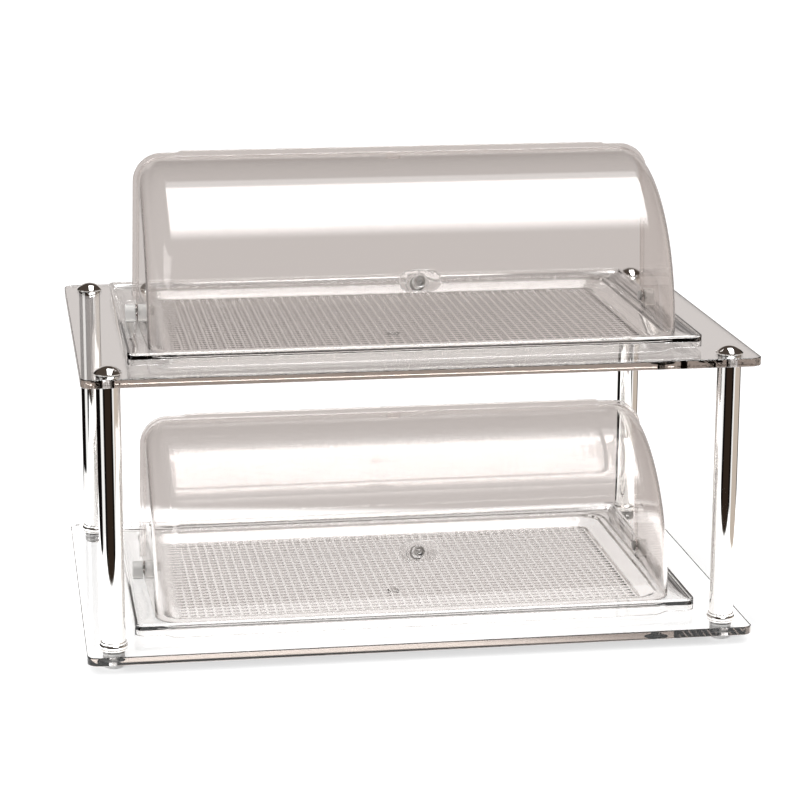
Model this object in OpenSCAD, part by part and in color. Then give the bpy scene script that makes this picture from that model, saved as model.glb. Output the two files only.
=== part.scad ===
// Two-tier countertop bread display with roll-top hoods.
// Millimetres. +Z is up, the front faces -Y, and the origin is the middle of the
// footprint at the level that the feet stand on.

/* [Tray] */
// Width of a tray, left to right
tray_w = 530; // [440:1:640]
// Depth of a tray, front to back
tray_d = 325; // [280:1:400]
// Height of a tray's lip over the shelf
tray_h = 14; // [12:0.5:24]
// Moulded wall of a tray
tray_wall = 2.5; // [1.5:0.1:3.5]
// Corner radius of a tray's skirt
tray_r = 8; // [5:0.5:16]
// Width of the lip that runs round a tray
lip_w = 2.7; // [2:0.1:4]
// Height of the lip over the ledge inside it
lip_up = 2.5; // [1:0.1:3]
// Distance from a tray's edge to the basin's top edge
border_w = 26; // [23:0.5:32]
// Width of the lowered strip of border next to the basin
border_step_w = 6; // [2:0.5:8]
// Depth of that strip under the ledge
border_drop = 1; // [0.4:0.1:1.5]
// Distance from the basin's top edge to its floor, seen from above
basin_slope_w = 17; // [10:0.5:24]
// Length of the relieved stretch of skirt at each corner
relief_l = 28; // [12:1:50]
// Height of the relieved stretch of skirt over the shelf
relief_h = 3; // [1:0.5:5]
// Upper tray's place to the right of the shelf's middle
upper_tray_x = -1.5; // [-4:0.5:4]
// Upper tray's place behind the shelf's middle
upper_tray_y = -10.5; // [-20:0.5:20]
// Lower tray's place to the right of the shelf's middle
lower_tray_x = 1; // [-4:0.5:4]
// Lower tray's place behind the shelf's middle
lower_tray_y = -2.5; // [-20:0.5:20]

/* [Stand] */
// Gap between a centred tray's sides and the post tubes
post_gap = 9; // [8:0.5:30]
// Depth of shelf left free in front of and behind a centred tray
shelf_apron = 47.5; // [45:0.5:80]
// Thickness of the clear shelf sheet
shelf_t = 8; // [6:0.5:12]
// Corner radius of the shelves
shelf_r = 10; // [4:0.5:20]
// Bevel along the polished edges of the shelves
shelf_bevel = 0.6; // [0.2:0.1:2]
// Height of a foot under the lower shelf
foot_h = 9; // [7:0.5:16]
// Diameter of a foot
foot_d = 20; // [18:0.5:28]
// Clear height from the lower shelf to the upper shelf
bay_h = 250; // [225:1:400]
// Distance of each post's axis from the shelf's edges
post_inset = 25; // [20:0.5:30]
// Outside diameter of a post tube
post_d = 22; // [18:0.5:27]
// Wall of a post tube
post_wall = 1.5; // [1:0.1:2.5]
// Diameter of the tie rod inside a post
rod_d = 10; // [6:0.5:12]
// Width that a cap nut's dome stands out beyond the post
cap_over = 1.75; // [1:0.25:4]
// Height of a cap nut above the upper shelf
cap_h = 7; // [6:0.5:12]
// Width that the beaded collar stands out beyond the post
collar_over = 2.25; // [2:0.25:4]
// Height of the beaded collar at a post's foot
collar_h = 7.5; // [6:0.5:12]

/* [Hood] */
// Distance from the tray's front edge to the hood's front rim
hood_front = 6.5; // [3:0.5:9]
// Distance from the tray's side edge to the hood's end wall
hood_side = 17; // [16:0.5:24]
// Place of a hood's open rear edge, measured back from the tray's middle
hood_rear = -1; // [-6:0.5:4]
// Wall of a hood
hood_wall = 2.5; // [2:0.1:3.5]
// Radius where a hood's front runs into its end walls
hood_fillet = 24; // [10:1:40]
// Slope of the end walls: how far they lean in for each unit of radius
hood_draft = 0.023; // [0:0.001:0.05]
// Depth of the flange along a hood's rear edge, front to back
flange_t = 3; // [2:0.1:5]
// Height that the flange stands out from the hood
flange_up = 3.3; // [2:0.1:4]
// Extra height of the flange's raised middle
flange_extra = 1.7; // [0.5:0.1:3]
// Distance from the hood's end wall to the raised middle of the flange
flange_side = 45; // [38:1:120]
// Width of the small tab under the middle of the flange
tab_w = 13; // [6:0.5:24]
// Depth that the tab hangs into the hood
tab_down = 5; // [3:0.5:8]

/* [Pivot] */
// Distance from the pivot's axis to each of a hood's two rims
pivot_off = 9.3; // [7.5:0.1:11.5]
// Diameter of a pivot pin
pin_d = 5; // [4:0.5:6]
// Diameter of the boss round a pivot hole
boss_d = 12; // [10:0.5:14]
// Length of a bearing along the pivot's axis
bearing_l = 9.5; // [7:0.5:11.5]

/* [Knob] */
// Height of the knob on the quarter round, in degrees above its lower rim
knob_angle = 21; // [15:1:40]
// Length of the oval knob plate
knob_w = 38; // [28:0.5:50]
// Height of the oval knob plate
knob_d = 20; // [14:0.5:26]
// Thickness of the oval knob plate
knob_t = 6; // [4:0.5:8]
// Length of the knob's neck from the hood to the plate
knob_neck = 14; // [10:0.5:24]

/* [Clearances] */
// Radial clearance of a pivot pin in a hood
pin_gap = 0.05; // [0.02:0.01:0.1]
// Radial clearance of screws and rods in threaded pieces
thread_gap = 0.05; // [0.02:0.01:0.1]
// Radial clearance of rods and screws in plain holes
hole_gap = 0.5; // [0.2:0.1:1]
// Gap between a hood's rims and the tray ledge that they close on
rim_gap = 0.2; // [0.1:0.05:0.5]
// Sideways gap between a hood's bosses and its bearings and pin heads
side_gap = 0.4; // [0.3:0.05:1]

/* [Hidden] */
$fn = 96;
SIDES = [["left", -1], ["right", 1]];
CORNERS = [["front_left", -1, -1], ["front_right", 1, -1], ["rear_left", -1, 1], ["rear_right", 1, 1]];
TIERS = ["lower", "upper"];

// How far a cut runs past the faces that it opens
past = 1;
// Facets round small beads and rounded edges
bead_fn = 48;

// Stand
shelf_w = tray_w + 2*(post_inset + post_d/2 + post_gap);
shelf_d = tray_d + 2*shelf_apron;
lower_top = foot_h + shelf_t;
upper_bottom = lower_top + bay_h;
upper_top = upper_bottom + shelf_t;
post_x = shelf_w/2 - post_inset;
post_y = shelf_d/2 - post_inset;

// Base collar: flat foot ring, bead, and a floor that the post stands on
collar_r = post_d/2 + collar_over;
collar_floor = 2;
collar_foot_h = 1.4;
collar_foot_in = 0.8;
collar_top_in = 1.3;
bead_r = 2.4;
bead_z = 3.6;

// Threads of a tie rod's two ends, and the forms round them
foot_thread = 6;
foot_edge = 2.5;
cap_r = post_d/2 + cap_over;
cap_thread = 5;
cap_edge_h = 0.8;

// Tray, over its shelf
ledge_z = tray_h - lip_up;
ledge_w = border_w - border_step_w;
step_z = ledge_z - border_drop;
basin_r = 18;
floor_r = 9;
basin_fn = 32;
relief_ramp = 9;
// Thickness of the thin outlines that the basin is drawn between
slice = 0.01;

// Hood and pivot, over the shelf and back from the tray's middle
hood_radius = tray_d/2 - hood_front + hood_rear;
hood_half_w = tray_w/2 - hood_side;
flange_half_w = hood_half_w - flange_side;
hood_z = ledge_z + rim_gap;
pivot_y = hood_rear - pivot_off;
pivot_z = hood_z + pivot_off;

// Pivot boss on each end wall, and what it runs between
wall_out = hood_half_w - hood_draft*pivot_off*sqrt(2);
boss_in_h = 0.8;
boss_out_h = 0.6;
boss_in = wall_out - hood_wall - boss_in_h;
boss_out = wall_out + boss_out_h;
boss_l = boss_out - boss_in;
flange_clear = boss_d/2 + 3;
bearing_in = boss_out + side_gap;
bearing_slot_w = 3.6;
bearing_web = 1.5;
bearing_end = 1.5;
bearing_foot_h = 1.2;
bearing_foot_out = 1.5;
head_out = boss_in - side_gap;
head_t = 2;
head_d = 9;

// Knob and its screw
knob_foot_d = 18;
knob_foot_h = 2;
knob_neck_d = 10;
knob_dome_r = 60;
dimple_d = 9;
dimple_h = 0.8;
screw_d = 4;
screw_grip = 9;
washer_t = 1.2;
washer_d = 11;
screw_head_t = 2.4;
screw_head_d = 8;
// Half length of the cylinders that the knob and washer are cut to
seat_half_l = 30;
// Facets of the round that the washer seats on
seat_fn = 720;
// Overlap of a head or neck with the shaft that it is drawn with
merge = 0.5;

// Where each tier's tray stands
function tier_at(t) = t == "upper" ? [upper_tray_x, upper_tray_y, upper_top]
                                   : [lower_tray_x, lower_tray_y, lower_top];

// A rectangle with round corners, centred
module round_rect(w, d, r) {
    square([w - 2*r, d], center = true);
    square([w, d - 2*r], center = true);
    for (x = [-1, 1], y = [-1, 1])
        translate([x*(w/2 - r), y*(d/2 - r)]) circle(r = r);
}

// Half section of the sheet's edge, bevelled above and below, out to radius r
function sheet_edge(r) =
    let(b = shelf_bevel, t = shelf_t)
    [[0, 0], [r - b, 0], [r, b], [r, t - b], [r - b, t], [0, t]];

// A straight run of the sheet, w long and d across, bevelled along both sides
module sheet_run(w, d) {
    for (m = [0, 1]) mirror([0, m, 0]) translate([-w/2, 0, 0]) rotate([90, 0, 90])
        linear_extrude(w) polygon(sheet_edge(d/2));
}

// A clear sheet with bevelled edges and its four rod holes
module shelf(z) {
    in_w = shelf_w - 2*shelf_r;
    in_d = shelf_d - 2*shelf_r;
    color("lightcyan", 0.4) translate([0, 0, z]) difference() {
        union() {
            sheet_run(in_w, shelf_d);
            rotate([0, 0, 90]) sheet_run(in_d, shelf_w);
            for (c = CORNERS) translate([c[1]*in_w/2, c[2]*in_d/2, 0])
                rotate_extrude() polygon(sheet_edge(shelf_r));
        }
        for (c = CORNERS)
            translate([c[1]*post_x, c[2]*post_y, -past])
                cylinder(h = shelf_t + 2*past, d = rod_d + 2*hole_gap);
    }
}

// A tube that stands in its collar and carries the upper shelf
module post(c) {
    z = lower_top + collar_floor;
    color("silver") translate([c[1]*post_x, c[2]*post_y, z]) difference() {
        cylinder(h = upper_bottom - z, d = post_d);
        translate([0, 0, -past]) cylinder(h = bay_h + 2*past, d = post_d - 2*post_wall);
    }
}

// The rod that pulls foot, shelves and cap nut together
module tie_rod(c) {
    z = foot_h - foot_thread;
    color("gray") translate([c[1]*post_x, c[2]*post_y, z])
        cylinder(h = upper_top + cap_thread - z, d = rod_d);
}

// A domed nut with a blind thread, its rim flat on the shelf
module cap_nut(c) {
    rise = cap_h - cap_edge_h;
    dome_r = (cap_r^2 + rise^2)/(2*rise);
    color("silver") translate([c[1]*post_x, c[2]*post_y, upper_top]) difference() {
        union() {
            cylinder(h = cap_edge_h, r = cap_r);
            translate([0, 0, cap_edge_h]) intersection() {
                translate([0, 0, rise - dome_r]) sphere(r = dome_r);
                cylinder(h = rise + past, r = cap_r);
            }
        }
        translate([0, 0, -past]) cylinder(h = cap_thread + past, d = rod_d + 2*thread_gap);
    }
}

// A turned ring that the post stands in: flat foot, bead, and a lip round the tube
module base_collar(c) {
    color("silver") translate([c[1]*post_x, c[2]*post_y, lower_top]) difference() {
        union() {
            cylinder(h = collar_foot_h, r = collar_r - collar_foot_in);
            cylinder(h = collar_h, r = collar_r - collar_top_in);
            translate([0, 0, bead_z]) rotate_extrude()
                translate([collar_r - bead_r, 0]) circle(r = bead_r, $fn = bead_fn);
        }
        translate([0, 0, collar_floor]) cylinder(h = collar_h, d = post_d + 2*thread_gap);
        translate([0, 0, -past]) cylinder(h = collar_h, d = rod_d + 2*hole_gap);
    }
}

// A round foot with a blind thread, flat where it stands
module foot(c) {
    color("whitesmoke") translate([c[1]*post_x, c[2]*post_y, 0]) difference() {
        rotate_extrude() {
            square([foot_d/2 - foot_edge, foot_h]);
            translate([0, foot_edge]) square([foot_d/2, foot_h - foot_edge]);
            translate([foot_d/2 - foot_edge, foot_edge]) circle(r = foot_edge, $fn = bead_fn);
        }
        translate([0, 0, foot_h - foot_thread])
            cylinder(h = foot_thread + past, d = rod_d + 2*thread_gap);
    }
}

// A drafted basin shape: the floor outline below, the top outline above
module basin(w, d, z_low, z_high, grow) {
    floor_in = 2*(basin_slope_w - grow);
    hull() {
        translate([0, 0, z_low]) linear_extrude(slice)
            round_rect(w - floor_in, d - floor_in, floor_r + grow, $fn = basin_fn);
        translate([0, 0, z_high]) linear_extrude(slice)
            round_rect(w + 2*grow, d + 2*grow, basin_r + grow, $fn = basin_fn);
    }
}

// The cut that relieves one end of a skirt wall of length w, along X
module relief(w) {
    flat = w/2 - relief_l;
    rotate([90, 0, 0]) linear_extrude(2*(tray_wall + past), center = true)
        polygon([[w/2 + past, -past], [w/2 + past, relief_h], [flat, relief_h],
                 [flat - relief_ramp, 0], [flat - relief_ramp, -past]]);
}

// One tray in its own place: skirt, lip, ledge, stepped border and drafted basin
module tray_form() {
    top_w = tray_w - 2*border_w;
    top_d = tray_d - 2*border_w;
    difference() {
        linear_extrude(tray_h) round_rect(tray_w, tray_d, tray_r);
        // Ledge inside the lip
        translate([0, 0, ledge_z]) linear_extrude(tray_h)
            round_rect(tray_w - 2*lip_w, tray_d - 2*lip_w, tray_r - lip_w);
        // Shallow step down to the border of the basin
        translate([0, 0, step_z]) linear_extrude(tray_h)
            round_rect(tray_w - 2*ledge_w, tray_d - 2*ledge_w, basin_r + border_step_w);
        basin(top_w, top_d, tray_wall, step_z, 0);
        // Hollow underside between the skirt and the basin
        difference() {
            translate([0, 0, -past]) linear_extrude(step_z - tray_wall + past)
                round_rect(tray_w - 2*tray_wall, tray_d - 2*tray_wall, tray_r - tray_wall);
            basin(top_w, top_d, -past - slice, step_z, tray_wall);
        }
        for (s = [-1, 1], m = [0, 1]) {
            mirror([m, 0, 0]) translate([0, s*tray_d/2, 0]) relief(tray_w);
            rotate([0, 0, 90]) mirror([m, 0, 0]) translate([0, s*tray_w/2, 0]) relief(tray_d);
        }
    }
}

module tray(t) {
    color("lightcyan", 0.5) translate(tier_at(t)) tray_form();
}

// Section of a hood: radius along X, the hood's width along Y, grown or shrunk by e
module hood_section(e) {
    r = hood_fillet + e;
    tip = hood_radius + e;
    lean = sqrt(1 + hood_draft^2);
    half = hood_half_w + e*lean;
    mid = half - hood_draft*(tip - r) - r*lean;
    touch = [tip - r + r*hood_draft/lean, mid + r/lean];
    polygon([[0, -half], [touch[0], -touch[1]], [tip - r, -mid], [tip, -mid],
             [tip, mid], [tip - r, mid], [touch[0], touch[1]], [0, half]]);
    for (s = [-1, 1]) translate([tip - r, s*mid]) circle(r = r);
}

// The section stood up in the plane across the hood, its radius pointing up
module section_plate(e, t) {
    rotate([90, 0, 0]) linear_extrude(t) rotate([0, 0, 90]) hood_section(e);
}

// A quarter turn of the section about the hood's axis, from the front rim to the rear edge
module quarter(e) {
    rotate([180, 0, 0]) rotate([0, 90, 0]) rotate_extrude(angle = 90) intersection() {
        hood_section(e);
        translate([0, -2*hood_half_w]) square([2*hood_radius, 4*hood_half_w]);
    }
}

// Flange along the open rear edge, raised in the middle, with its small tab
module flange() {
    rise = flange_up + flange_extra;
    ramp = flange_half_w + rise;
    shoulder = hood_radius + flange_up - hood_wall/2;
    difference() {
        union() {
            section_plate(flange_up, flange_t);
            rotate([90, 0, 0]) linear_extrude(flange_t)
                polygon([[-ramp, hood_radius - hood_wall/2], [ramp, hood_radius - hood_wall/2],
                         [ramp, shoulder], [flange_half_w, hood_radius + rise],
                         [-flange_half_w, hood_radius + rise], [-ramp, shoulder]]);
        }
        translate([0, past, 0]) section_plate(-hood_wall, flange_t + 2*past);
        // The flange ends above the bearings
        translate([-hood_half_w - 2*rise, -flange_t - past, -past])
            cube([2*hood_half_w + 4*rise, flange_t + 2*past, pivot_off + flange_clear + past]);
    }
    translate([-tab_w/2, -flange_t, hood_radius - hood_wall - tab_down])
        cube([tab_w, flange_t, tab_down + hood_wall/2]);
}

// One hood about its own axis: shell, flange, pivot bosses and the knob's hole
module hood_form() {
    difference() {
        union() {
            difference() {
                quarter(0);
                quarter(-hood_wall);
            }
            flange();
            for (m = [0, 1]) mirror([m, 0, 0]) translate([boss_in, -pivot_off, pivot_off])
                rotate([0, 90, 0]) cylinder(h = boss_l, d = boss_d);
        }
        // Round the corner of each end wall that sweeps under the pivot
        for (m = [0, 1]) mirror([m, 0, 0]) translate([boss_in - past, -pivot_off, pivot_off])
            rotate([0, 90, 0]) difference() {
                cube([pivot_off + past, pivot_off + past, boss_l + 2*past]);
                translate([0, 0, -past]) cylinder(h = boss_l + 4*past, r = pivot_off);
            }
        // Pivot holes
        for (m = [0, 1]) mirror([m, 0, 0]) translate([boss_in - past, -pivot_off, pivot_off])
            rotate([0, 90, 0]) cylinder(h = boss_l + 2*past, d = pin_d + 2*pin_gap);
        // Hole for the knob's screw
        at_knob() translate([0, 0, -2*hood_wall]) cylinder(h = 4*hood_wall, d = screw_d + 2*hole_gap);
    }
}

// Moves a piece that stands along +Z to the knob's place on the hood
module at_knob() {
    rotate([90 - knob_angle, 0, 0]) translate([0, 0, hood_radius]) children();
}

module at_hood(t) {
    p = tier_at(t);
    translate([p[0], p[1] + hood_rear, p[2] + hood_z]) children();
}

// A length of round bar across the hood, about the hood's own axis
module seat_bar(r) {
    rotate([0, 90, 0]) translate([0, 0, -seat_half_l]) cylinder(h = 2*seat_half_l, r = r, $fn = seat_fn);
}

module hood(t) {
    color("gainsboro", 0.4) at_hood(t) hood_form();
}

// Oval plate on a neck, seated on the round front, with a blind thread
module knob(t) {
    color("gainsboro", 0.6) at_hood(t) difference() {
        at_knob() {
            translate([0, 0, -past]) cylinder(h = knob_foot_h + past, d = knob_foot_d);
            cylinder(h = knob_neck + merge, d = knob_neck_d);
            intersection() {
                translate([0, 0, knob_neck]) linear_extrude(knob_t) {
                    square([knob_w - knob_d, knob_d], center = true);
                    for (s = [-1, 1]) translate([s*(knob_w - knob_d)/2, 0]) circle(d = knob_d);
                }
                translate([0, 0, knob_neck + knob_t - knob_dome_r]) sphere(r = knob_dome_r);
            }
        }
        seat_bar(hood_radius);
        at_knob() translate([0, 0, -past]) cylinder(h = screw_grip + past, d = screw_d + 2*thread_gap);
        at_knob() translate([0, 0, knob_neck + knob_t - dimple_h]) cylinder(h = knob_t, d = dimple_d);
    }
}

// Thin washer between the screw's head and the inside of the hood
module knob_washer(t) {
    color("white") at_hood(t) difference() {
        intersection() {
            at_knob() translate([0, 0, -hood_wall - washer_t])
                cylinder(h = washer_t + hood_wall, d = washer_d);
            seat_bar(hood_radius - hood_wall);
        }
        at_knob() translate([0, 0, -2*hood_radius/3])
            cylinder(h = hood_radius, d = screw_d + 2*thread_gap);
    }
}

module knob_screw(t) {
    under = -hood_wall - washer_t;
    color("silver") at_hood(t) at_knob() {
        translate([0, 0, under - screw_head_t]) cylinder(h = screw_head_t, d = screw_head_d);
        translate([0, 0, under - merge]) cylinder(h = screw_grip - under + merge, d = screw_d);
    }
}

// Places a piece drawn from the pivot's axis outwards on one end of a tier's pivot
module at_pivot(t, s) {
    p = tier_at(t);
    translate([p[0], p[1] + pivot_y, p[2] + pivot_z])
        mirror([s < 0 ? 1 : 0, 0, 0]) children();
}

// Bearing on the tray's ledge: round top, and two legs with a slot between them on a wider foot
module bearing(t, s) {
    down = pivot_z - ledge_z;
    color("white") at_pivot(t, s) translate([bearing_in, 0, 0]) difference() {
        union() {
            rotate([0, 90, 0]) cylinder(h = bearing_l, d = boss_d);
            translate([0, -boss_d/2, -down]) cube([bearing_l, boss_d, down]);
            translate([0, -boss_d/2 - bearing_foot_out, -down])
                cube([bearing_l, boss_d + 2*bearing_foot_out, bearing_foot_h]);
        }
        translate([-past, -bearing_slot_w/2, -down - past])
            cube([bearing_l + 2*past, bearing_slot_w, down + past - pin_d/2 - bearing_web]);
        rotate([0, 90, 0]) translate([0, 0, -past])
            cylinder(h = bearing_l - bearing_end + past, d = pin_d + 2*thread_gap);
    }
}

// Headed pin: head inside the hood, shaft through the hood into the bearing
module pivot_pin(t, s) {
    shaft_l = bearing_in - head_out + bearing_l - bearing_end;
    color("white") at_pivot(t, s) rotate([0, 90, 0]) {
        translate([0, 0, head_out - head_t]) cylinder(h = head_t, d = head_d);
        translate([0, 0, head_out - merge]) cylinder(h = shaft_l + merge, d = pin_d);
    }
}

for (c = CORNERS) {
    post(c);
    tie_rod(c);
    cap_nut(c);
    base_collar(c);
    foot(c);
}
for (t = TIERS) {
    tray(t);
    for (s = SIDES) {
        bearing(t, s[1]);
        pivot_pin(t, s[1]);
    }
    hood(t);
    knob(t);
    knob_washer(t);
    knob_screw(t);
}
shelf(foot_h);  // lower_shelf
shelf(upper_bottom);  // upper_shelf
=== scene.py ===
"""Two-tier countertop bread display: looks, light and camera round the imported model."""
import math

import bmesh
import bpy
from mathutils import Matrix, Vector


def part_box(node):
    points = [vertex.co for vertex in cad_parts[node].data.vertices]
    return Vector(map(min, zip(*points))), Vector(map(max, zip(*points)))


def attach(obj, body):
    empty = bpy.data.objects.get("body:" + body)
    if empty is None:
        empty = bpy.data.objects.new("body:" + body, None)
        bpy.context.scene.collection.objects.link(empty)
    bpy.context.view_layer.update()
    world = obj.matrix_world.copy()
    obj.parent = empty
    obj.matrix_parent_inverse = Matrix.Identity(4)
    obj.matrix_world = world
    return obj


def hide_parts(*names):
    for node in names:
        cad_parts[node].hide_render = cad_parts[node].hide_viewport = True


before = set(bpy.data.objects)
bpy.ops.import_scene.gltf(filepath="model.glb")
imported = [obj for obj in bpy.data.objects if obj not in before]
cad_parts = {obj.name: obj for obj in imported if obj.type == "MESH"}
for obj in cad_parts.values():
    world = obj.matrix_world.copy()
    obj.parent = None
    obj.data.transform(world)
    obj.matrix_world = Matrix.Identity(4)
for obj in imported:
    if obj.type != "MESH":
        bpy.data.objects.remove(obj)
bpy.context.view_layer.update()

MM = 0.001
TIERS = ("lower", "upper")
SIDES = ("left", "right")
CORNERS = ("front_left", "front_right", "rear_left", "rear_right")

# Camera solved from the photograph: degrees, metres, and pixels of an 800-pixel frame
CAMERA_AZIMUTH, CAMERA_ELEVATION, CAMERA_ROLL = 8.346, 13.3018, 0.0381
CAMERA_PLACE = Vector((-0.38487, -2.41008, 0.81120))
FOCAL_PX, FRAME_PX, SENSOR_MM = 2566.9, 800.0, 36.0
# The photograph is cut off-centre from a larger one
SHIFT_X, SHIFT_Y = 0.05, -0.05

# Studio, in metres and degrees. Azimuth 0 is towards the studio's open front and grows to the right.
STUDIO_TURN = 9.2
FLOOR_HALF = 14.0
TABLE_LEFT, TABLE_RIGHT, TABLE_FRONT, TABLE_BACK = -0.60, 0.60, 0.48, -0.27
BACKDROP = (0.65, 0.61, 0.59)
PALE = (0.88, 0.87, 0.86)
WHITE = (1.0, 1.0, 1.0)
BLACK = (0.004, 0.003, 0.003)
BROWN = (0.030, 0.020, 0.014)
TAN = (0.58, 0.50, 0.43)
CEILING = (0.07, 0.055, 0.045)
ROOM_BY_AZIMUTH = ((-154, BACKDROP), (-150, BLACK), (-79, BLACK), (-75, WHITE), (-48, WHITE), (-44, BLACK),
                   (-30, BLACK), (-24, BROWN), (24, BROWN), (30, BLACK), (42, BLACK), (46, WHITE), (56, WHITE),
                   (60, TAN), (126, TAN), (130, BLACK), (148, BLACK), (152, BACKDROP))
# Light panel overhead: how far it reaches in front, behind, left and right for each metre of height
PANEL_LEVEL, PANEL_BACK_LEVEL = 9.0, 1.5
PANEL_FRONT, PANEL_BACK, PANEL_LEFT, PANEL_RIGHT = -0.32, 0.62, -0.023, 0.38
PANEL_FADE = 0.14
FLOOR_LIFT = 0.45
TABLE_LIFT = 1.15
LIGHT_LEVEL = 0.8

# Tray, in millimetres over its shelf: inset from the tray's edge, height, corner radius
TRAY_HALF = (265.0, 162.5)
SKIRT_LOW = 0.15
RELIEF_Z = 3.0
RELIEF_FLAT, RELIEF_END = 28.0, 37.0
CELL = 8.3
CELL_COLUMNS, CELL_ROWS = 53, 28
RIB_W, CELL_SLOPE, RIB_Z, POCKET_Z, FLOOR_Z = 1.9, 0.7, 3.0, 2.65, 2.5
# Moulding mark on the tray's floor: its place from the tray's middle, and radius and height of each ring
MARK_PLACE = (-9.0, -62.0)
MARK_RINGS = ((6.0, 2.9), (5.8, 3.5), (5.0, 3.9), (3.4, 4.2), (1.7, 4.3))
# Name of the mesh attribute that marks the floors of the pockets, where the tray plastic takes a painted shade
POCKET = "pocket"


# Node helpers

def new_material(name):
    mat = bpy.data.materials.new(name)
    mat.use_nodes = True
    tree = mat.node_tree
    return mat, tree, tree.nodes["Principled BSDF"]


def add_node(tree, kind, **inputs):
    node = tree.nodes.new(kind)
    for key, value in inputs.items():
        node.inputs[key.replace("_", " ")].default_value = value
    return node


def math_node(tree, operation, a, b=None):
    node = tree.nodes.new("ShaderNodeMath")
    node.operation = operation
    for i, value in enumerate((a, b)):
        if isinstance(value, (int, float)):
            node.inputs[i].default_value = value
        elif value is not None:
            tree.links.new(value, node.inputs[i])
    return node.outputs[0]


def ramp(tree, value, start, end):
    """0 at start, 1 at end, smooth between them; end may be below start."""
    node = tree.nodes.new("ShaderNodeMapRange")
    node.interpolation_type = "SMOOTHSTEP"
    node.inputs["From Min"].default_value = start
    node.inputs["From Max"].default_value = end
    tree.links.new(value, node.inputs["Value"])
    return node.outputs["Result"]


def mix_colour(tree, factor, a, b):
    node = tree.nodes.new("ShaderNodeMix")
    node.data_type = "RGBA"
    for socket, value in ((node.inputs["Factor"], factor), (node.inputs["A"], a), (node.inputs["B"], b)):
        if isinstance(value, tuple):
            socket.default_value = (*value, 1.0)
        elif isinstance(value, (int, float)):
            socket.default_value = value
        else:
            tree.links.new(value, socket)
    return node.outputs["Result"]


def multiply_all(tree, values):
    total = values[0]
    for value in values[1:]:
        total = math_node(tree, "MULTIPLY", total, value)
    return total


def seen_directly(tree, *names):
    """1 for rays of any of these kinds, 0 for the light that the object receives."""
    path = tree.nodes.new("ShaderNodeLightPath")
    top = path.outputs[names[0]]
    for name in names[1:]:
        top = math_node(tree, "MAXIMUM", top, path.outputs[name])
    return top


def relief_bump(tree, shader, scale, distance, strength, edge=0.0005, detail=3.0):
    """Fine unevenness on top of softly rounded edges. Returns the noise for further use."""
    place = tree.nodes.new("ShaderNodeTexCoord").outputs["Object"]
    noise = add_node(tree, "ShaderNodeTexNoise", Scale=scale, Detail=detail)
    tree.links.new(place, noise.inputs["Vector"])
    bump = add_node(tree, "ShaderNodeBump", Distance=distance, Strength=strength)
    tree.links.new(noise.outputs["Fac"], bump.inputs["Height"])
    if edge:
        rounding = add_node(tree, "ShaderNodeBevel", Radius=edge)
        rounding.samples = 4
        tree.links.new(rounding.outputs["Normal"], bump.inputs["Normal"])
    tree.links.new(bump.outputs["Normal"], shader.inputs["Normal"])
    return noise


def rough_variation(tree, shader, noise, low, high):
    spread = add_node(tree, "ShaderNodeMapRange", From_Min=0.3, From_Max=0.7, To_Min=low, To_Max=high)
    tree.links.new(noise.outputs["Fac"], spread.inputs["Value"])
    tree.links.new(spread.outputs["Result"], shader.inputs["Roughness"])


# Materials

def clear_plastic(name, tint, absorb, density, shadow, wave=0.00002, scale=9.0, edge=0.0005, pocket_painted_shade=None):
    """Clear moulded plastic: refracts, darkens with thickness, and lets lamps through.

    Faces with the pocket attribute take a painted shade: the pocket_painted_shade colour, greyer than the tint.
    """
    mat, tree, shader = new_material(name)
    shader.inputs["Base Color"].default_value = (*tint, 1.0)
    if pocket_painted_shade:
        pocket = tree.nodes.new("ShaderNodeAttribute")
        pocket.attribute_name = POCKET
        # Painted shade: pocket floors get a greyer base colour than the rest of the clear plastic
        tree.links.new(mix_colour(tree, pocket.outputs["Fac"], tint, pocket_painted_shade), shader.inputs["Base Color"])
    shader.inputs["Transmission Weight"].default_value = 1.0
    shader.inputs["Roughness"].default_value = 0.0
    shader.inputs["IOR"].default_value = 1.49
    relief_bump(tree, shader, scale=scale, distance=wave, strength=0.5, edge=edge, detail=1.0)
    volume = tree.nodes.new("ShaderNodeVolumeAbsorption")
    volume.inputs["Color"].default_value = (*absorb, 1.0)
    volume.inputs["Density"].default_value = density
    out = tree.nodes["Material Output"]
    tree.links.new(volume.outputs["Volume"], out.inputs["Volume"])
    through = tree.nodes.new("ShaderNodeBsdfTransparent")
    through.inputs["Color"].default_value = (*shadow, 1.0)
    mix = tree.nodes.new("ShaderNodeMixShader")
    path = tree.nodes.new("ShaderNodeLightPath")
    tree.links.new(path.outputs["Is Shadow Ray"], mix.inputs["Fac"])
    tree.links.new(shader.outputs["BSDF"], mix.inputs[1])
    tree.links.new(through.outputs["BSDF"], mix.inputs[2])
    tree.links.new(mix.outputs["Shader"], out.inputs["Surface"])
    return mat


def polished_metal(name, colour, low, high):
    mat, tree, shader = new_material(name)
    shader.inputs["Base Color"].default_value = (*colour, 1.0)
    shader.inputs["Metallic"].default_value = 1.0
    noise = relief_bump(tree, shader, scale=60.0, distance=0.00001, strength=0.3, edge=0.0003)
    rough_variation(tree, shader, noise, low, high)
    return mat


def milky_plastic(name, colour, clear):
    mat, tree, shader = new_material(name)
    shader.inputs["Base Color"].default_value = (*colour, 1.0)
    shader.inputs["Transmission Weight"].default_value = clear
    shader.inputs["IOR"].default_value = 1.45
    noise = relief_bump(tree, shader, scale=300.0, distance=0.00005, strength=0.3)
    rough_variation(tree, shader, noise, 0.35, 0.5)
    return mat


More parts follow.
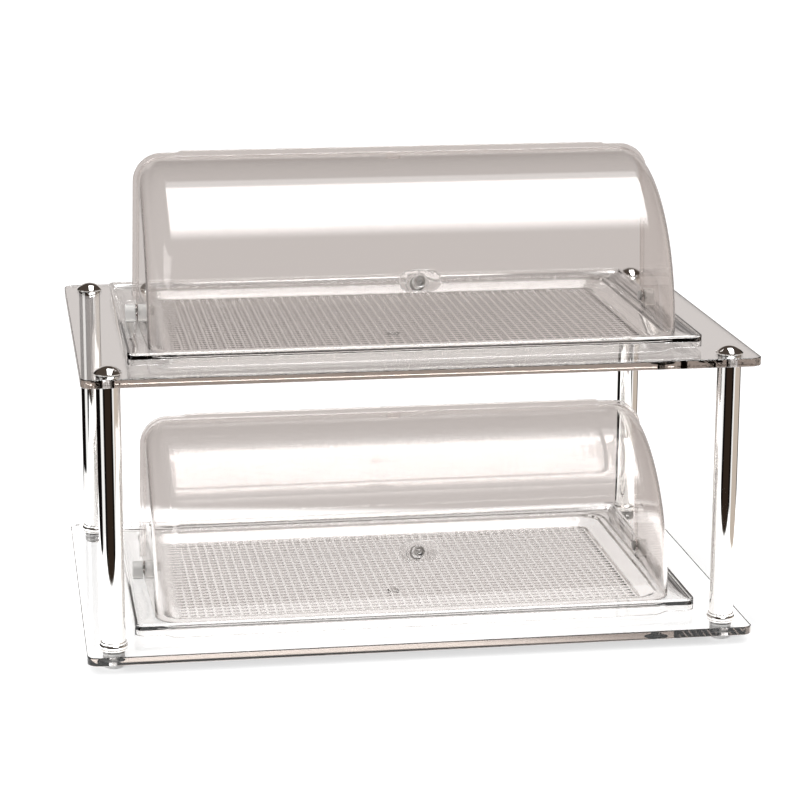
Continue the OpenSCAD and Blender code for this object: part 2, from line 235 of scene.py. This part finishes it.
CLEAR_HOOD = clear_plastic("clear_hood_plastic", (1.0, 0.985, 0.98), (0.61, 0.53, 0.48), 65.0, (0.97, 0.965, 0.96),
                           edge=0.0025)
# The tray's pocket floors take a painted shade, greyer than its ribs, for the darker cells of the waffle
CLEAR_TRAY = clear_plastic("clear_tray_plastic", (1.0, 0.998, 0.995), (0.62, 0.55, 0.50), 5.0, (0.99, 0.985, 0.98),
                           pocket_painted_shade=(0.87, 0.845, 0.835))
CLEAR_SHELF = clear_plastic("clear_shelf_sheet", (1.0, 0.998, 0.995), (0.60, 0.52, 0.46), 4.0, (0.98, 0.98, 0.98))
CLEAR_KNOB = clear_plastic("clear_knob_plastic", (1.0, 1.0, 1.0), (0.70, 0.65, 0.60), 8.0, (0.95, 0.95, 0.95),
                           wave=0.0008, scale=90.0, edge=0.002)
CHROME = polished_metal("polished_chrome", (0.93, 0.92, 0.90), 0.02, 0.06)
STEEL = polished_metal("plain_steel", (0.85, 0.84, 0.83), 0.25, 0.4)
MILKY = milky_plastic("milky_plastic", (1.0, 0.975, 0.945), 0.0)
PAD = milky_plastic("foot_plastic", (0.80, 0.79, 0.78), 0.0)


def dress(node, mat):
    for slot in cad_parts[node].material_slots:
        slot.material = mat


def dress_carried_over():
    for tier in TIERS:
        dress(f"{tier}_shelf", CLEAR_SHELF)
        dress(f"{tier}_hood", CLEAR_HOOD)
        dress(f"{tier}_knob", CLEAR_KNOB)
        dress(f"{tier}_knob_screw", STEEL)
        dress(f"{tier}_knob_washer", MILKY)
        for side in SIDES:
            dress(f"{tier}_bearing_{side}", MILKY)
            dress(f"{tier}_pivot_pin_{side}", MILKY)
    for corner in CORNERS:
        for kind, mat in (("post", CHROME), ("cap_nut", CHROME), ("base_collar", CHROME),
                          ("tie_rod", STEEL), ("foot", PAD)):
            dress(f"{kind}_{corner}", mat)


# Pieces

def add_piece(name, bm, mat, place, body, node):
    """Turns a bmesh in millimetres into a piece at place that rides on body and stands for node."""
    bmesh.ops.recalc_face_normals(bm, faces=bm.faces)
    mesh = bpy.data.meshes.new(name)
    bm.to_mesh(mesh)
    mesh.transform(Matrix.Translation(place) @ Matrix.Scale(MM, 4))
    mesh.materials.append(mat)
    piece = bpy.data.objects.new(name, mesh)
    bpy.context.scene.collection.objects.link(piece)
    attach(piece, body)
    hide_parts(node)
    return piece


def soften(points, steps=3):
    """Rounds an outline's corners. A point is (values, rounding), the rounding a length along each side."""
    out = []
    for i, (values, rounding) in enumerate(points):
        here = Vector(values)
        if rounding == 0:
            out.append(here)
            continue
        sides = []
        for j in (i - 1, i + 1):
            other = Vector(points[j][0])
            length = math.hypot(other[0] - here[0], other[1] - here[1])
            sides.append(here + (other - here)*min(0.45, rounding/length))
        for k in range(steps + 1):
            t = k/steps
            out.append(sides[0]*(1 - t)**2 + here*2*t*(1 - t) + sides[1]*t*t)
    return out


def rounded_loop(inset, z, radius, relieved):
    """Points of a round-cornered rectangle inside the tray's outline, with its skirt relief stations."""
    half_x, half_y = TRAY_HALF[0] - inset, TRAY_HALF[1] - inset
    straight = (half_x - radius, half_y - radius)
    full = (TRAY_HALF[0] - 8.0, TRAY_HALF[1] - 8.0)
    corner_steps = 8
    points = []
    for quarter in range(4):
        sign_x = (1, -1, -1, 1)[quarter]
        sign_y = (1, 1, -1, -1)[quarter]
        for k in range(corner_steps + 1):
            angle = math.radians(90*quarter + 90*k/corner_steps)
            points.append((sign_x*straight[0] + radius*math.cos(angle),
                           sign_y*straight[1] + radius*math.sin(angle), z + relieved*RELIEF_Z))
        axis = 0 if quarter in (0, 2) else 1
        reach = full[axis]
        share = [(TRAY_HALF[axis] - RELIEF_FLAT)/reach, (TRAY_HALF[axis] - RELIEF_END)/reach]
        going = (-1, -1, 1, 1)[quarter]
        for fraction, lifted in ((share[0], 1), (share[1], 0), (-share[1], 0), (-share[0], 1)):
            along = -going*straight[axis]*fraction
            if axis == 0:
                points.append((along, sign_y*half_y, z + relieved*lifted*RELIEF_Z))
            else:
                points.append((sign_x*half_x, along, z + relieved*lifted*RELIEF_Z))
    return points


def bridge(bm, lower, upper):
    count = len(lower)
    for i in range(count):
        j = (i + 1) % count
        bm.faces.new((lower[i], lower[j], upper[j], upper[i]))


def loop_edges(bm, loop):
    return [bm.edges.get((loop[i], loop[(i + 1) % len(loop)])) or bm.edges.new((loop[i], loop[(i + 1) % len(loop)]))
            for i in range(len(loop))]


def waffle(bm):
    """Square pockets between low ribs over the basin's floor. Returns the outer loop at the floor's level."""
    half_w, half_d = CELL*CELL_COLUMNS/2, CELL*CELL_ROWS/2
    marks = bm.faces.layers.float.new(POCKET)
    corner = [[bm.verts.new((i*CELL - half_w, j*CELL - half_d, RIB_Z)) for j in range(CELL_ROWS + 1)]
              for i in range(CELL_COLUMNS + 1)]
    inner, slope = RIB_W/2, RIB_W/2 + CELL_SLOPE
    for i in range(CELL_COLUMNS):
        for j in range(CELL_ROWS):
            x, y = i*CELL - half_w, j*CELL - half_d
            outer = [corner[i][j], corner[i + 1][j], corner[i + 1][j + 1], corner[i][j + 1]]
            rings = [outer]
            for inset, z in ((inner, RIB_Z), (slope, POCKET_Z)):
                low, high = inset, CELL - inset
                rings.append([bm.verts.new((x + a, y + b, z))
                              for a, b in ((low, low), (high, low), (high, high), (low, high))])
            for ring_a, ring_b in zip(rings, rings[1:]):
                bridge(bm, ring_a, ring_b)
            # Each pocket floor is marked for the painted shade of the tray plastic
            bm.faces.new(rings[-1])[marks] = 1.0
    rim = [corner[i][0] for i in range(CELL_COLUMNS)] + [corner[-1][j] for j in range(CELL_ROWS)]
    rim += [corner[i][-1] for i in range(CELL_COLUMNS, 0, -1)] + [corner[0][j] for j in range(CELL_ROWS, 0, -1)]
    step = 0.5
    foot = [bm.verts.new((v.co.x + math.copysign(step, v.co.x)*(abs(abs(v.co.x) - half_w) < 0.01),
                          v.co.y + math.copysign(step, v.co.y)*(abs(abs(v.co.y) - half_d) < 0.01), FLOOR_Z))
            for v in rim]
    bridge(bm, rim, foot)
    return foot


def moulding_mark(bm):
    """A small closed dome on the ribs."""
    steps = 24
    rings = [[bm.verts.new((MARK_PLACE[0] + radius*math.cos(2*math.pi*k/steps),
                            MARK_PLACE[1] + radius*math.sin(2*math.pi*k/steps), z)) for k in range(steps)]
             for radius, z in MARK_RINGS]
    for ring_a, ring_b in zip(rings, rings[1:]):
        bridge(bm, ring_a, ring_b)
    bm.faces.new(rings[0])
    bm.faces.new(rings[-1])


def tray_mesh():
    """One closed tray: skirt, lip, ledge, stepped border, basin slopes and waffle floor."""
    top = soften([((0, SKIRT_LOW, 8, 1), 0), ((0, 14, 8, 0), 0.9), ((2.7, 14, 5.3, 0), 0.9),
                  ((2.7, 11.5, 5.3, 0), 0.5), ((20, 11.5, 24, 0), 0.5), ((20.5, 10.5, 24, 0), 0.4),
                  ((26, 10.5, 18, 0), 1.6), ((43, FLOOR_Z, 9, 0), 2.0), ((44, FLOOR_Z, 8.5, 0), 0)])
    under = soften([((0, SKIRT_LOW, 8, 1), 0), ((2.5, SKIRT_LOW, 5.5, 1), 0), ((2.5, 8, 5.5, 0), 0.8),
                    ((27.2, 8, 19.6, 0), 1.2), ((39, SKIRT_LOW, 11.7, 0), 2.0), ((40, SKIRT_LOW, 11.2, 0), 0)])
    bm = bmesh.new()
    loops = {}
    for key, outline in (("top", top), ("under", under)):
        loops[key] = [[bm.verts.new(p) for p in rounded_loop(*values)] for values in outline[1:]]
    edge = [bm.verts.new(p) for p in rounded_loop(*top[0])]
    for key in loops:
        chain = [edge] + loops[key]
        for a, b in zip(chain, chain[1:]):
            bridge(bm, a, b)
    foot = waffle(bm)
    bmesh.ops.triangle_fill(bm, use_beauty=True, use_dissolve=False, normal=(0, 0, 1),
                            edges=loop_edges(bm, loops["top"][-1]) + loop_edges(bm, foot))
    bm.faces.new(loops["under"][-1])
    moulding_mark(bm)
    return bm


def shade(piece, angle=30.0):
    """Smooth shading, with hard edges where the surface turns by more than the angle."""
    mesh = piece.data
    for polygon in mesh.polygons:
        polygon.use_smooth = True
    mesh.set_sharp_from_angle(angle=math.radians(angle))


def build_trays():
    for tier in TIERS:
        low, high = (Vector(v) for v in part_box(f"{tier}_tray"))
        place = Vector(((low.x + high.x)/2, (low.y + high.y)/2, low.z))
        bm = tray_mesh()
        piece = add_piece(f"{tier}_waffle_tray", bm, CLEAR_TRAY, place, f"{tier}_tray_unit",
                          f"{tier}_tray")
        bm.free()
        shade(piece)


# Studio

def studio_axes():
    """Level unit vectors to the studio's right and towards its open front."""
    azimuth = math.radians(STUDIO_TURN)
    return (math.cos(azimuth), -math.sin(azimuth)), (-math.sin(azimuth), -math.cos(azimuth))


def across_and_towards(tree, vector):
    """Three sockets: how far the vector points to the studio's right, to its front, and up."""
    axes = tree.nodes.new("ShaderNodeSeparateXYZ")
    tree.links.new(vector, axes.inputs[0])
    out = []
    for unit in studio_axes():
        out.append(math_node(tree, "ADD", math_node(tree, "MULTIPLY", axes.outputs[0], unit[0]),
                             math_node(tree, "MULTIPLY", axes.outputs[1], unit[1])))
    return out[0], out[1], axes.outputs[2]


def build_floor():
    """A pale floor. Metal and plastic see its middle as a white table, with the studio beyond the table."""
    half = FLOOR_HALF
    mesh = bpy.data.meshes.new("floor")
    mesh.from_pydata([(-half, -half, 0), (half, -half, 0), (half, half, 0), (-half, half, 0)], [], [(0, 1, 2, 3)])
    floor = bpy.data.objects.new("floor", mesh)
    bpy.context.scene.collection.objects.link(floor)
    mat, tree, shader = new_material("floor_white")
    shader.inputs["Base Color"].default_value = (0.9, 0.9, 0.9, 1.0)
    shader.inputs["Roughness"].default_value = 0.9
    shader.inputs["Specular IOR Level"].default_value = 0.0
    shader.inputs["Emission Color"].default_value = (1.0, 1.0, 1.0, 1.0)
    mirrored = seen_directly(tree, "Is Glossy Ray", "Is Transmission Ray")
    lift = math_node(tree, "ADD", math_node(tree, "MULTIPLY", seen_directly(tree, "Is Camera Ray"), FLOOR_LIFT),
                     math_node(tree, "MULTIPLY", mirrored, TABLE_LIFT))
    tree.links.new(lift, shader.inputs["Emission Strength"])
    place = tree.nodes.new("ShaderNodeTexCoord").outputs["Object"]
    across, towards, _ = across_and_towards(tree, place)
    soft = 0.02
    on_table = multiply_all(tree, [ramp(tree, across, TABLE_LEFT - soft, TABLE_LEFT + soft),
                                   ramp(tree, across, TABLE_RIGHT + soft, TABLE_RIGHT - soft),
                                   ramp(tree, towards, TABLE_BACK - soft, TABLE_BACK + soft),
                                   ramp(tree, towards, TABLE_FRONT + soft, TABLE_FRONT - soft)])
    passing = multiply_all(tree, [mirrored, math_node(tree, "SUBTRACT", 1.0, on_table)])
    beyond = tree.nodes.new("ShaderNodeBsdfTransparent")
    mix = tree.nodes.new("ShaderNodeMixShader")
    tree.links.new(passing, mix.inputs["Fac"])
    tree.links.new(shader.outputs["BSDF"], mix.inputs[1])
    tree.links.new(beyond.outputs["BSDF"], mix.inputs[2])
    tree.links.new(mix.outputs["Shader"], tree.nodes["Material Output"].inputs["Surface"])
    mesh.materials.append(mat)


def build_world():
    """White behind the object, an even light on it, and a studio with a light panel in its reflections."""
    world = bpy.data.worlds.new("studio")
    bpy.context.scene.world = world
    world.use_nodes = True
    tree = world.node_tree
    tree.nodes.clear()
    direction = tree.nodes.new("ShaderNodeTexCoord").outputs["Generated"]
    across, towards, up = across_and_towards(tree, direction)
    azimuth = math_node(tree, "ARCTAN2", across, towards)
    turn = math_node(tree, "ADD", math_node(tree, "DIVIDE", azimuth, 2*math.pi), 0.5)
    room = tree.nodes.new("ShaderNodeValToRGB")
    tree.links.new(turn, room.inputs["Fac"])
    stops = room.color_ramp.elements
    while len(stops) > 1:
        stops.remove(stops[-1])
    for k, (degrees, colour) in enumerate(ROOM_BY_AZIMUTH):
        stop = stops[0] if k == 0 else stops.new((degrees + 180)/360)
        stop.position = (degrees + 180)/360
        stop.color = (*colour, 1.0)
    # What is seen through plastic is the pale backdrop on every side, lighter where the ray points well down
    behind = mix_colour(tree, ramp(tree, up, -0.5, -0.75), BACKDROP, PALE)
    around = mix_colour(tree, seen_directly(tree, "Is Transmission Ray"), room.outputs["Color"], behind)
    studio = mix_colour(tree, ramp(tree, up, 0.34, 0.46), around, CEILING)
    axes = tree.nodes.new("ShaderNodeSeparateXYZ")
    tree.links.new(direction, axes.inputs[0])
    height = math_node(tree, "MAXIMUM", axes.outputs[2], 0.02)
    along = math_node(tree, "DIVIDE", axes.outputs[1], height)
    sideways = math_node(tree, "DIVIDE", axes.outputs[0], height)
    soft = 0.02
    panel = multiply_all(tree, [ramp(tree, along, PANEL_FRONT - PANEL_FADE, PANEL_FRONT + PANEL_FADE),
                                ramp(tree, along, PANEL_BACK + soft, PANEL_BACK - soft),
                                ramp(tree, sideways, PANEL_LEFT - soft, PANEL_LEFT + soft),
                                ramp(tree, sideways, PANEL_RIGHT + soft, PANEL_RIGHT - soft)])
    glow = mix_colour(tree, ramp(tree, along, 0.38, 0.50), (PANEL_LEVEL,)*3, (PANEL_BACK_LEVEL,)*3)
    studio = mix_colour(tree, panel, studio, glow)
    mirrored = seen_directly(tree, "Is Glossy Ray", "Is Transmission Ray")
    seen = mix_colour(tree, mirrored, (LIGHT_LEVEL, LIGHT_LEVEL, LIGHT_LEVEL), studio)
    seen = mix_colour(tree, seen_directly(tree, "Is Camera Ray"), seen, WHITE)
    background = tree.nodes.new("ShaderNodeBackground")
    tree.links.new(seen, background.inputs["Color"])
    background.inputs["Strength"].default_value = 1.0
    out = tree.nodes.new("ShaderNodeOutputWorld")
    tree.links.new(background.outputs[0], out.inputs["Surface"])


def build_camera():
    azimuth, elevation, roll = (math.radians(v) for v in (CAMERA_AZIMUTH, CAMERA_ELEVATION, CAMERA_ROLL))
    level = math.cos(elevation)
    forward = Vector((math.sin(azimuth)*level, math.cos(azimuth)*level, -math.sin(elevation)))
    right = forward.cross(Vector((0, 0, 1))).normalized()
    upward = right.cross(forward)
    turned_right = right*math.cos(roll) + upward*math.sin(roll)
    turned_up = upward*math.cos(roll) - right*math.sin(roll)
    data = bpy.data.cameras.new("camera")
    data.sensor_width = SENSOR_MM
    data.lens = FOCAL_PX/FRAME_PX*SENSOR_MM
    data.shift_x, data.shift_y = SHIFT_X, SHIFT_Y
    camera = bpy.data.objects.new("camera", data)
    bpy.context.scene.collection.objects.link(camera)
    rotation = Matrix((turned_right, turned_up, -forward)).transposed()
    camera.matrix_world = Matrix.Translation(CAMERA_PLACE) @ rotation.to_4x4()
    bpy.context.scene.camera = camera


def area_lamp(name, place, target, size, power):
    data = bpy.data.lights.new(name, "AREA")
    data.shape = "SQUARE"
    data.size = size
    data.energy = power
    lamp = bpy.data.objects.new(name, data)
    bpy.context.scene.collection.objects.link(lamp)
    lamp.location = place
    lamp.rotation_euler = (Vector(target) - Vector(place)).to_track_quat("-Z", "Y").to_euler()
    lamp.visible_glossy = False
    return lamp


def set_render_paths():
    bpy.context.scene.view_settings.view_transform = "Standard"
    cycles = bpy.context.scene.cycles
    cycles.caustics_reflective = False
    cycles.caustics_refractive = False
    cycles.max_bounces = 24
    cycles.transmission_bounces = 24
    cycles.glossy_bounces = 12


dress_carried_over()
build_trays()
build_camera()
build_floor()
build_world()
area_lamp("key_lamp", (-1.2, -1.6, 2.0), (0, 0, 0.2), 1.2, 25.0)
set_render_paths()
